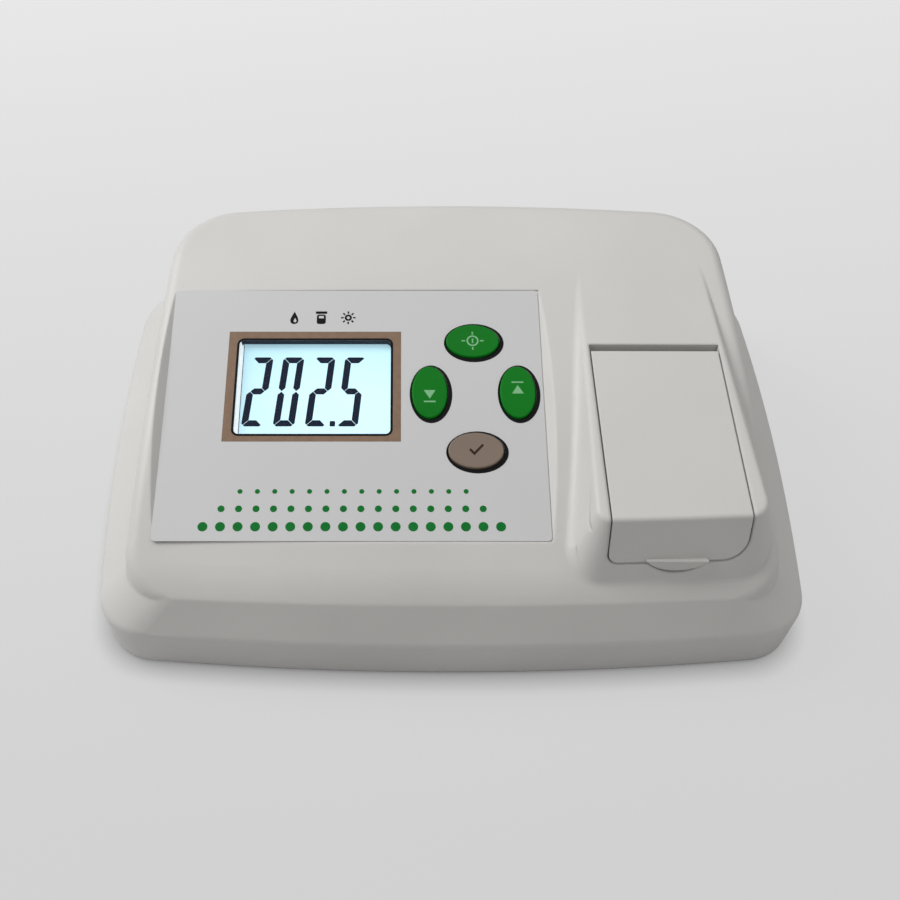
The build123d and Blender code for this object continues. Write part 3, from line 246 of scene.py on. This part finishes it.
def printed_ink(name, colour, roughness=0.55, specular=0.12, glow=0.0):
    """Screen-printed ink, a little uneven; glow gives it light of its own, which paints backlight glow
    where it is used.
    """
    material, tree, shader = new_material(name, colour, roughness, 0.0, specular)
    shader.inputs["Emission Color"].default_value = (*colour, 1)
    shader.inputs["Emission Strength"].default_value = glow
    slow = object_noise(tree, 400.0, 2.0)
    low = tuple(c * 0.93 for c in colour)
    high = tuple(min(1.0, c * 1.07 + 0.001) for c in colour)
    tint(tree, shader, slow, low, high)
    bump(tree, shader, object_noise(tree, 5000.0, 1.0), 0.00002, 0.3)
    return material


def circuit_board():
    """Green solder resist with faint copper tracks under it."""
    material, tree, shader = new_material("solder_resist", RESIST, 0.32)
    coordinates = tree.nodes.new("ShaderNodeTexCoord")
    bricks = tree.nodes.new("ShaderNodeTexBrick")
    bricks.inputs["Scale"].default_value = 260.0
    bricks.inputs["Mortar Size"].default_value = 0.06
    bricks.inputs["Color1"].default_value = (*RESIST, 1)
    bricks.inputs["Color2"].default_value = (*RESIST_LIGHT, 1)
    bricks.inputs["Mortar"].default_value = (*TRACK, 1)
    tree.links.new(coordinates.outputs["Object"], bricks.inputs["Vector"])
    tree.links.new(bricks.outputs["Color"], shader.inputs["Base Color"])
    bump(tree, shader, bricks.outputs["Fac"], 0.00003, 0.4)
    shader.inputs["Coat Weight"].default_value = 0.3
    return material


def brushed_metal(name, colour, roughness):
    """Plated metal with fine turning marks."""
    material, tree, shader = new_material(name, colour, roughness, 1.0)
    marks = object_noise(tree, 900.0, 4.0, (1, 1, 14))
    vary_roughness(tree, shader, marks, roughness * 0.7, roughness * 1.3)
    bump(tree, shader, marks, 0.00001, 0.3)
    return material


def clear_pane(name, colour, alpha, roughness, specular=0.5):
    """A clear pane that light passes; faint streaks of handling on its gloss."""
    material, tree, shader = new_material(name, colour, roughness, 0.0, specular)
    shader.inputs["Alpha"].default_value = alpha
    shader.inputs["IOR"].default_value = 1.49
    streaks = object_noise(tree, 60.0, 3.0, (1, 0.2, 1))
    vary_roughness(tree, shader, streaks, roughness * 0.6, roughness * 1.6)
    return material


def rubber():
    """Soft black rubber."""
    material, tree, shader = new_material("foot_rubber", (0.012, 0.012, 0.012), 0.75)
    noise = object_noise(tree, 1800.0, 3.0)
    tint(tree, shader, noise, (0.009, 0.009, 0.009), (0.02, 0.02, 0.02))
    bump(tree, shader, noise, 0.0001, 0.5)
    return material


def lit_display():
    """The display's pale blue face, dimmer towards its top and left."""
    material, tree, shader = new_material("display_face", DISPLAY_FACE, 0.35, 0.0, 0.2)
    coordinates = tree.nodes.new("ShaderNodeTexCoord")
    split = tree.nodes.new("ShaderNodeSeparateXYZ")
    tree.links.new(coordinates.outputs["Generated"], split.inputs["Vector"])
    across = tree.nodes.new("ShaderNodeValToRGB")
    across.color_ramp.elements[0].color = (*DISPLAY_LEFT_TINT, 1)
    across.color_ramp.elements[1].color = (1.0, 1.0, 1.0, 1)
    across.color_ramp.elements[1].position = DISPLAY_EVEN
    up = tree.nodes.new("ShaderNodeValToRGB")
    up.color_ramp.elements[0].position = DISPLAY_EVEN
    up.color_ramp.elements[0].color = (*DISPLAY_FACE, 1)
    up.color_ramp.elements[1].color = (*DISPLAY_TOP, 1)
    both = tree.nodes.new("ShaderNodeMix")
    both.data_type = "RGBA"
    both.blend_type = "MULTIPLY"
    both.inputs["Factor"].default_value = 1.0
    tree.links.new(split.outputs["X"], across.inputs["Fac"])
    tree.links.new(split.outputs["Y"], up.inputs["Fac"])
    tree.links.new(up.outputs["Color"], both.inputs["A"])
    tree.links.new(across.outputs["Color"], both.inputs["B"])
    tree.links.new(both.outputs["Result"], shader.inputs["Base Color"])
    tree.links.new(both.outputs["Result"], shader.inputs["Emission Color"])
    shader.inputs["Emission Strength"].default_value = DISPLAY_GLOW
    return material


materials = {
    "housing": moulded_plastic("housing_plastic", HOUSING_COLOUR, 0.42, edge_radius=0.0018),
    "lid": moulded_plastic("lid_plastic", HOUSING_COLOUR, 0.42, edge_radius=0.0008, drift=0.02),
    "cover": moulded_plastic("cover_plastic", (0.36, 0.36, 0.35), 0.55, grain=1500.0),
    "black": moulded_plastic("black_plastic", (0.012, 0.012, 0.013), 0.4, drift=0.1),
    "component": moulded_plastic("component_plastic", (0.02, 0.02, 0.022), 0.5, drift=0.1),
    "ribbon": moulded_plastic("ribbon_film", (0.5, 0.5, 0.47), 0.4, edge_radius=0.0),
    "green": moulded_plastic("green_key", GREEN, 0.4, 3500.0, 0.00003, 0.0004, 0.08, 0.12),
    "taupe": moulded_plastic("taupe_key", TAUPE, 0.4, 3500.0, 0.00003, 0.0004, 0.05, 0.12),
    "label": moulded_plastic("label_film", (0.61, 0.61, 0.61), 0.5, 4500.0, 0.00002, 0.0, 0.01, 0.25),
    "window": clear_pane("window_acrylic", (0.5, 0.52, 0.53), 0.015, 0.05, 0.3),
    "display": lit_display(),
    "backlight": moulded_plastic("backlight_plastic", (0.8, 0.93, 0.95), 0.3, edge_radius=0.0),
    "board": circuit_board(),
    "steel": brushed_metal("screw_steel", (0.6, 0.6, 0.62), 0.3),
    "nickel": brushed_metal("nickel_can", (0.62, 0.58, 0.5), 0.28),
    "rubber": rubber(),
    "foam": moulded_plastic("seal_foam", (0.02, 0.02, 0.02), 0.9, 1200.0, 0.0002, 0.0),
    "epoxy": clear_pane("lamp_epoxy", (0.9, 0.92, 0.9), 0.6, 0.08),
    "filter": clear_pane("filter_glass", (0.35, 0.04, 0.2), 0.85, 0.05),
    "ink_taupe": printed_ink("ink_taupe", (0.25, 0.165, 0.115)),
    "ink_black": printed_ink("ink_black", (0.003, 0.003, 0.004)),
    "ink_green": printed_ink("ink_green", (0.003, 0.17, 0.025)),
    "ink_pale": printed_ink("ink_pale", (0.22, 0.5, 0.25)),
    "ink_brown": printed_ink("ink_brown", (0.035, 0.018, 0.012)),
    "ink_white": printed_ink("ink_white", (0.7, 0.7, 0.7)),
    # painted backlight glow: light of its own on the glass edge strip and the window's left wall
    "painted_backlight_glow": printed_ink("painted_backlight_glow", (0.7, 0.76, 0.78), glow=0.55),
    # dark ink for the glass edge line, and painted shade on the window's top wall
    "edge_ink_and_painted_shade": printed_ink("edge_ink_and_painted_shade", (0.012, 0.02, 0.04)),
    "segment": printed_ink("display_segment", (0.002, 0.008, 0.028), 0.4, 0.03),
}

NODE_MATERIALS = {
    "upper_housing": "housing",
    "bottom_cover": "cover",
    "rubber_feet": "rubber",
    "housing_screws": "steel",
    "front_overlay": "label",
    "display_window": "window",
    "lcd_glass": "display",
    "lcd_backlight": "backlight",
    "lcd_holder": "black",
    "display_board": "board",
    "display_ribbon": "ribbon",
    "key_switches": "component",
    "sample_lid": "lid",
    "lid_hinge_pins": "steel",
    "cell_holder": "black",
    "cell_holder_screws": "steel",
    "well_seal": "foam",
    "lamp": "epoxy",
    "lamp_board": "board",
    "optical_filter": "filter",
    "photodiode": "nickel",
    "detector_board": "board",
    "board_screws": "steel",
    "main_board": "board",
    "main_board_parts": "component",
    "dc_inlet": "black",
    "dc_inlet_nut": "nickel",
    "switch_frame": "black",
    "power_rocker": "black",
    "key_top": "green",
    "key_left": "green",
    "key_right": "green",
    "key_bottom": "taupe",
    "plunger_top": "component",
    "plunger_left": "component",
    "plunger_right": "component",
    "plunger_bottom": "component",
}


def dress(node, material):
    """Gives a CAD node one material."""
    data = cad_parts[node].data
    data.materials.clear()
    data.materials.append(material)


for node, kind in NODE_MATERIALS.items():
    dress(node, materials[kind])


# Flat printed pieces

def ellipse(x, v, half_width, half_height, points=96):
    """Closed outline of an ellipse."""
    turns = [2 * math.pi * i / points for i in range(points)]
    return [(x + half_width * math.cos(a), v + half_height * math.sin(a)) for a in turns]


def rectangle(x0, x1, v0, v1, radius=0.0, steps=10):
    """Closed outline of a rectangle, with rounded corners if a radius is given."""
    if not radius:
        return [(x0, v0), (x1, v0), (x1, v1), (x0, v1)]
    centres = [(x1 - radius, v0 + radius, -90), (x1 - radius, v1 - radius, 0),
               (x0 + radius, v1 - radius, 90), (x0 + radius, v0 + radius, 180)]
    outline = []
    for cx, cv, start in centres:
        for i in range(steps + 1):
            a = math.radians(start + 90 * i / steps)
            outline.append((cx + radius * math.cos(a), cv + radius * math.sin(a)))
    return outline


def print_on(name, outlines, height, material, body, matrix=panel_matrix, thickness=PRINT_HEIGHT):
    """A thin printed layer: closed outlines in millimetres, an outline inside another being a hole."""
    curve = bpy.data.curves.new(name, "CURVE")
    curve.dimensions = "2D"
    curve.fill_mode = "BOTH"
    curve.extrude = thickness * MM / 2
    for outline in outlines:
        spline = curve.splines.new("POLY")
        spline.points.add(len(outline) - 1)
        for point, (x, v) in zip(spline.points, outline):
            point.co = (x * MM, v * MM, 0, 1)
        spline.use_cyclic_u = True
    shape = bpy.data.objects.new(name, curve)
    bpy.context.scene.collection.objects.link(shape)
    mesh = bpy.data.meshes.new_from_object(shape)
    bpy.data.objects.remove(shape)
    mesh.transform(matrix @ Matrix.Translation((0, 0, (height + thickness / 2) * MM)))
    piece = bpy.data.objects.new(name, mesh)
    bpy.context.scene.collection.objects.link(piece)
    mesh.materials.clear()
    mesh.materials.append(materials[material])
    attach(piece, body)
    return piece


def print_label():
    """The label's printing: the display's border, the key rings and the rows of dots."""
    x0, x1, v0, v1 = WINDOW
    outside = rectangle(*LCD_FRAME)
    line = WINDOW_LINE
    line_outside = rectangle(x0 - line, x1 + line, v0 - line, v1 + line, WINDOW_RADIUS + line)
    hole = rectangle(x0, x1, v0, v1, WINDOW_RADIUS)
    print_on("print_display_border", [outside, line_outside], 0, "ink_taupe", "housing")
    print_on("print_window_line", [line_outside, hole], 0, "ink_black", "housing")
    for key, (x, v, half_width, half_height) in KEYS.items():
        dx, dv = KEY_RING_SHIFT
        outer = ellipse(x + dx, v + dv, half_width + KEY_RING, half_height + KEY_RING)
        inner = ellipse(x, v, half_width + KEY_GAP, half_height + KEY_GAP)
        print_on("print_ring_" + key, [outer, inner], 0, "ink_black", "housing")
    for row, (v, first, last, count, diameter) in enumerate(DOT_ROWS):
        step = (last - first) / (count - 1)
        dots = [ellipse(first + i * step, v, diameter / 2, diameter / 2, 28) for i in range(count)]
        print_on(f"print_dots_{row + 1}", dots, 0, "ink_green", "housing")


# Display figures

def segment_outlines(left):
    """The seven segments of one figure as mitred outlines, keyed a to g, before the slant."""
    s = DIGIT_STROKE
    w = DIGIT_WIDTH
    h = DIGIT_HEIGHT
    g = DIGIT_GAP
    c = DIGIT_CHAMFER
    half = s / 2
    middle = h / 2
    shapes = {
        "a": [
            (g + c, h), (w - g - c, h), (w - g - c / 2, h - c / 2),
            (w - s - g, h - s), (s + g, h - s), (g + c / 2, h - c / 2),
        ],
        "d": [
            (g + c, 0), (g + c / 2, c / 2), (s + g, s),
            (w - s - g, s), (w - g - c / 2, c / 2), (w - g - c, 0),
        ],
        "g": [
            (half + g, middle), (s + g, middle + half), (w - s - g, middle + half),
            (w - half - g, middle), (w - s - g, middle - half), (s + g, middle - half),
        ],
    }
    upper = [
        (c / 2, h - g - c / 2), (s, h - s - g), (s, middle + half + g),
        (half, middle + g), (0, middle + half + g), (0, h - g - c),
    ]
    lower = [
        (c / 2, g + c / 2), (0, g + c), (0, middle - half - g),
        (half, middle - g), (s, middle - half - g), (s, s + g),
    ]
    shapes["f"] = upper
    shapes["e"] = lower
    shapes["b"] = [(w - x, y) for x, y in upper]
    shapes["c"] = [(w - x, y) for x, y in lower]
    placed = {}
    for name, points in shapes.items():
        placed[name] = [(left + x + DIGIT_SLANT * y, DIGIT_BOTTOM + y) for x, y in points]
    return placed


def print_figures():
    """The figures on the display, and their decimal point."""
    outlines = []
    for figure, left in zip(SHOWN, DIGIT_LEFTS):
        shapes = segment_outlines(left)
        outlines += [shapes[name] for name in LIT[figure]]
    x, v, width, height = POINT
    outlines.append(rectangle(x, x + width, v, v + height, POINT_RADIUS, 4))
    print_on("display_figures", outlines, GLASS_TOP, "segment", "housing")


# Generic symbols in place of words

def ring(x, v, outer, inner):
    """Outlines of a ring."""
    return [ellipse(x, v, outer, outer, 48), ellipse(x, v, inner, inner, 48)]


def bar(x, v, width, height):
    """Outline of a bar about its middle."""
    return [rectangle(x - width / 2, x + width / 2, v - height / 2, v + height / 2)]


def triangle(x, v, size, direction):
    """Outline of a triangle that points up or down."""
    base = v - direction * size * 0.6
    return [[(x - size, base), (x + size, base), (x, v + direction * size)]]


def cross_bars(x, v, reach, length, width):
    """Outlines of four short bars round a point, above, below, right and left."""
    outlines = []
    for side in (1, -1):
        outlines += bar(x, v + side * reach[1], width, length[1])
    for side in (1, -1):
        outlines += bar(x + side * reach[0], v, length[0], width)
    return outlines


def symbols():
    """A plain symbol on each key."""
    line = 0.55
    x, v = KEYS["key_top"][:2]
    target = ring(x, v, 2.3, 1.7) + bar(x, v, line, 2.0) + cross_bars(x, v, (3.5, 3.3), (1.4, 1.2), line)
    print_on("symbol_key_top", target, KEY_TOP, "ink_pale", "top_button")
    size, shift, base, base_width, base_line = 2.2, 0.6, 4.0, 4.4, 0.6
    for key, body, direction in (("key_left", "left_button", -1), ("key_right", "right_button", 1)):
        x, v = KEYS[key][:2]
        arrow = triangle(x, v + direction * shift, size, direction)
        arrow += bar(x, v + direction * base, base_width, base_line)
        print_on("symbol_" + key, arrow, KEY_TOP, "ink_pale", body)
    x, v = KEYS["key_bottom"][:2]
    shape = [(-2.6, 0.1), (-2.0, 0.8), (-0.7, -0.7), (2.3, 2.5), (2.9, 1.9), (-0.7, -2.0)]
    tick = [[(x + dx, v + dv) for dx, dv in shape]]
    print_on("symbol_key_bottom", tick, KEY_TOP, "ink_brown", "bottom_button")


def drop(x, v, size):
    """Outline of a falling drop of water."""
    points = []
    count, width, taper = 40, 0.8, 1.6
    for i in range(count):
        a = 2 * math.pi * i / count
        narrow = math.sin(a / 2) ** taper
        points.append((x + size * width * math.sin(a) * narrow, v + size * math.cos(a)))
    return [points]


def title_signs():
    """Three plain signs above the display: a drop, a capped vial, and a lamp with its rays."""
    v = TITLE_V
    h = TITLE_HALF_HEIGHT
    x = TITLE_X - TITLE_STEP
    falling = drop(x, v, h) + drop(x + 0.1 * h, v - 0.36 * h, 0.36 * h)
    print_on("sign_drop", falling, 0, "ink_black", "housing")
    x = TITLE_X
    body = rectangle(x - 0.62 * h, x + 0.62 * h, v - h, v + 0.5 * h, 0.3 * h, 4)
    inside = rectangle(x - 0.34 * h, x + 0.34 * h, v - 0.1 * h, v + 0.28 * h)
    cap = rectangle(x - 0.78 * h, x + 0.78 * h, v + 0.62 * h, v + h)
    print_on("sign_vial", [body, inside, cap], 0, "ink_black", "housing")
    x = TITLE_X + TITLE_STEP
    rays = ring(x, v, 0.5 * h, 0.22 * h)
    count = 8
    near, far, half = 0.64 * h, h, 0.11 * h
    for i in range(count):
        a = 2 * math.pi * i / count
        dx, dv = math.cos(a), math.sin(a)
        rays.append([
            (x + near * dx - half * dv, v + near * dv + half * dx),
            (x + far * dx - half * dv, v + far * dv + half * dx),
            (x + far * dx + half * dv, v + far * dv - half * dx),
            (x + near * dx + half * dv, v + near * dv - half * dx),
        ])
    print_on("sign_rays", rays, 0, "ink_black", "housing")


def rear_plane(x, y, z, lean):
    """Frame of a face that looks to the rear: its first axis runs to -X, its third axis is the normal."""
    place = Matrix.Translation((x * MM, y * MM, z * MM))
    upright = Matrix(((-1, 0, 0, 0), (0, 0, 1, 0), (0, 1, 0, 0), (0, 0, 0, 1)))
    return place @ Matrix.Rotation(-math.radians(lean), 4, "X") @ upright


def rear_marks():
    """On and off marks on the rocker, and a polarity sign over the low-voltage inlet."""
    x, y, z = ROCKER_PIVOT
    tilt = math.radians(ROCKER_TILT)
    dip = ROCKER_END - ROCKER_HALF * math.tan(tilt)
    out = (dip + ROCKER_END) / 2
    marks = {
        "mark_off": (-1, 0.0, ring(0, 0, 1.5, 1.05)),
        "mark_on": (1, 2 * ROCKER_TILT, bar(0, 0, 0.5, 3.0)),
    }
    for name, (side, lean, shape) in marks.items():
        up = side * ROCKER_HALF / 2
        mark_y = y + out * math.cos(tilt) + up * math.sin(tilt)
        mark_z = z - out * math.sin(tilt) + up * math.cos(tilt)
        print_on(name, shape, 0, "ink_white", "rocker", rear_plane(x, mark_y, mark_z, lean))
    line, lead_line = 0.3, 0.36
    lead, end = 2.6, 4.4
    sign = ring(0, 0, 1.3, 1.0) + ring(0, 0, 0.5, 0.1)
    sign += bar(lead, 0, 1.6, lead_line) + bar(-lead, 0, 1.6, lead_line)
    sign += bar(end, 0, 1.3, line) + bar(-end, 0, 1.3, line)
    sign += bar(-end, 0.45, line, 0.5) + bar(-end, -0.45, line, 0.5)
    face = rear_plane(INLET_X, PAD_Y, POLARITY_Z, 0.0)
    print_on("mark_polarity", sign, 0, "ink_black", "housing", face)


def window_lining(name, span, material):
    """A thin lining on one stretch of the window's walls; its material paints shade or backlight glow
    onto the wall.
    """
    x0, x1, v0, v1 = WINDOW
    t = LINING_THICKNESS
    first, end = span
    wall = rectangle(x0, x1, v0, v1, WINDOW_RADIUS)[first:end]
    face = rectangle(x0 + t, x1 - t, v0 + t, v1 - t, WINDOW_RADIUS - t)[first:end]
    print_on(name, [wall + face[::-1]], LINING_BOTTOM, material, "housing", thickness=LINING_HEIGHT)


def glass_edges():
    """The edge of the glass at the left of the window with painted backlight glow and a dark line,
    painted shade on the window's top wall, and painted backlight glow on its left wall.
    """
    # pale strip at the glass edge with painted backlight glow
    print_on("display_edge_painted_glow", [rectangle(*GLASS_EDGE)], GLASS_TOP, "painted_backlight_glow", "housing")
    print_on("display_edge_line", [rectangle(*GLASS_LINE)], GLASS_TOP, "edge_ink_and_painted_shade", "housing")
    # painted shade on the window's top wall
    window_lining("window_wall_painted_shade", LINING_PAINTED_SHADE, "edge_ink_and_painted_shade")
    # painted backlight glow on the window's left wall
    window_lining("window_wall_painted_glow", LINING_PAINTED_GLOW, "painted_backlight_glow")


print_label()
print_figures()
symbols()
title_signs()
glass_edges()
rear_marks()


# Floor, light and camera

def floor_paper():
    """Pale paper that the camera sees with a soft shade round the object; the object sees plain paper."""
    material, tree, shader = new_material("floor_paper", (0.6, 0.6, 0.6), 0.9, 0.0, 0.1)
    coordinates = tree.nodes.new("ShaderNodeTexCoord")
    split = tree.nodes.new("ShaderNodeSeparateXYZ")
    tree.links.new(coordinates.outputs["Object"], split.inputs["Vector"])
    span = tree.nodes.new("ShaderNodeMapRange")
    span.inputs["From Min"].default_value = FLOOR_FADE[0]
    span.inputs["From Max"].default_value = FLOOR_FADE[1]
    span.inputs["To Min"].default_value = FLOOR_NEAR
    span.inputs["To Max"].default_value = FLOOR_FAR
    tree.links.new(split.outputs["Y"], span.inputs["Value"])
    contact = tree.nodes.new("ShaderNodeAmbientOcclusion")
    contact.inputs["Distance"].default_value = FLOOR_CONTACT
    darker = tree.nodes.new("ShaderNodeMath")
    darker.operation = "MULTIPLY"
    tree.links.new(span.outputs["Result"], darker.inputs[0])
    tree.links.new(contact.outputs["AO"], darker.inputs[1])
    glow = tree.nodes.new("ShaderNodeEmission")
    tree.links.new(darker.outputs["Value"], glow.inputs["Color"])
    seen = tree.nodes.new("ShaderNodeMixShader")
    seen.inputs["Fac"].default_value = FLOOR_SHADING
    tree.links.new(glow.outputs["Emission"], seen.inputs[1])
    tree.links.new(shader.outputs["BSDF"], seen.inputs[2])
    rays = tree.nodes.new("ShaderNodeLightPath")
    choice = tree.nodes.new("ShaderNodeMixShader")
    tree.links.new(rays.outputs["Is Camera Ray"], choice.inputs["Fac"])
    tree.links.new(shader.outputs["BSDF"], choice.inputs[1])
    tree.links.new(seen.outputs["Shader"], choice.inputs[2])
    tree.links.new(choice.outputs["Shader"], tree.nodes["Material Output"].inputs["Surface"])
    return material


def add_floor():
    """A pale floor that runs up into a pale wall far behind."""
    width, front, back, height, bend = 6.0, -3.0, 3.0, 3.0, 1.0
    section = [(front, 0.0), (back - bend, 0.0)]
    steps = 16
    for i in range(1, steps + 1):
        a = math.radians(90 * i / steps)
        section.append((back - bend + bend * math.sin(a), bend - bend * math.cos(a)))
    section.append((back, height))
    vertices = [(side * width, y, z) for y, z in section for side in (-1, 1)]
    faces = [(2 * i, 2 * i + 1, 2 * i + 3, 2 * i + 2) for i in range(len(section) - 1)]
    mesh = bpy.data.meshes.new("floor")
    mesh.from_pydata(vertices, [], faces)
    for polygon in mesh.polygons:
        polygon.use_smooth = True
    floor = bpy.data.objects.new("floor", mesh)
    bpy.context.scene.collection.objects.link(floor)
    mesh.materials.append(floor_paper())


def add_area_light(name, place, target, size, power):
    """A soft square lamp aimed at a point."""
    data = bpy.data.lights.new(name, "AREA")
    data.size = size
    data.energy = power
    lamp = bpy.data.objects.new(name, data)
    lamp.location = place
    lamp.rotation_euler = (Vector(target) - Vector(place)).to_track_quat("-Z", "Y").to_euler()
    bpy.context.scene.collection.objects.link(lamp)


def add_world(strength, seen_strength):
    """An even, pale surrounding light; the camera sees it as a pale backdrop."""
    world = bpy.data.worlds.new("studio")
    world.use_nodes = True
    tree = world.node_tree
    background = tree.nodes["Background"]
    background.inputs["Color"].default_value = (1, 1, 1, 1)
    rays = tree.nodes.new("ShaderNodeLightPath")
    span = tree.nodes.new("ShaderNodeMapRange")
    span.inputs["To Min"].default_value = strength
    span.inputs["To Max"].default_value = seen_strength
    tree.links.new(rays.outputs["Is Camera Ray"], span.inputs["Value"])
    tree.links.new(span.outputs["Result"], background.inputs["Strength"])
    bpy.context.scene.world = world


def add_camera():
    """The camera at the photograph's place."""
    data = bpy.data.cameras.new("camera")
    data.sensor_width = SENSOR
    data.lens = LENS
    data.shift_x = CAMERA_SHIFT
    data.clip_start = 0.01
    data.clip_end = 20
    camera = bpy.data.objects.new("camera", data)
    camera.location = CAMERA_PLACE
    camera.rotation_euler = (math.radians(CAMERA_TILT), 0, 0)
    bpy.context.scene.collection.objects.link(camera)
    bpy.context.scene.camera = camera


add_floor()
add_world(WORLD_LIGHT, WORLD_SEEN)
for lamp_name, (lamp_place, lamp_size, lamp_power) in LAMPS.items():
    add_area_light(lamp_name, lamp_place, LAMP_TARGET, lamp_size, lamp_power)
add_camera()
bpy.context.scene.view_settings.view_transform = "Standard"
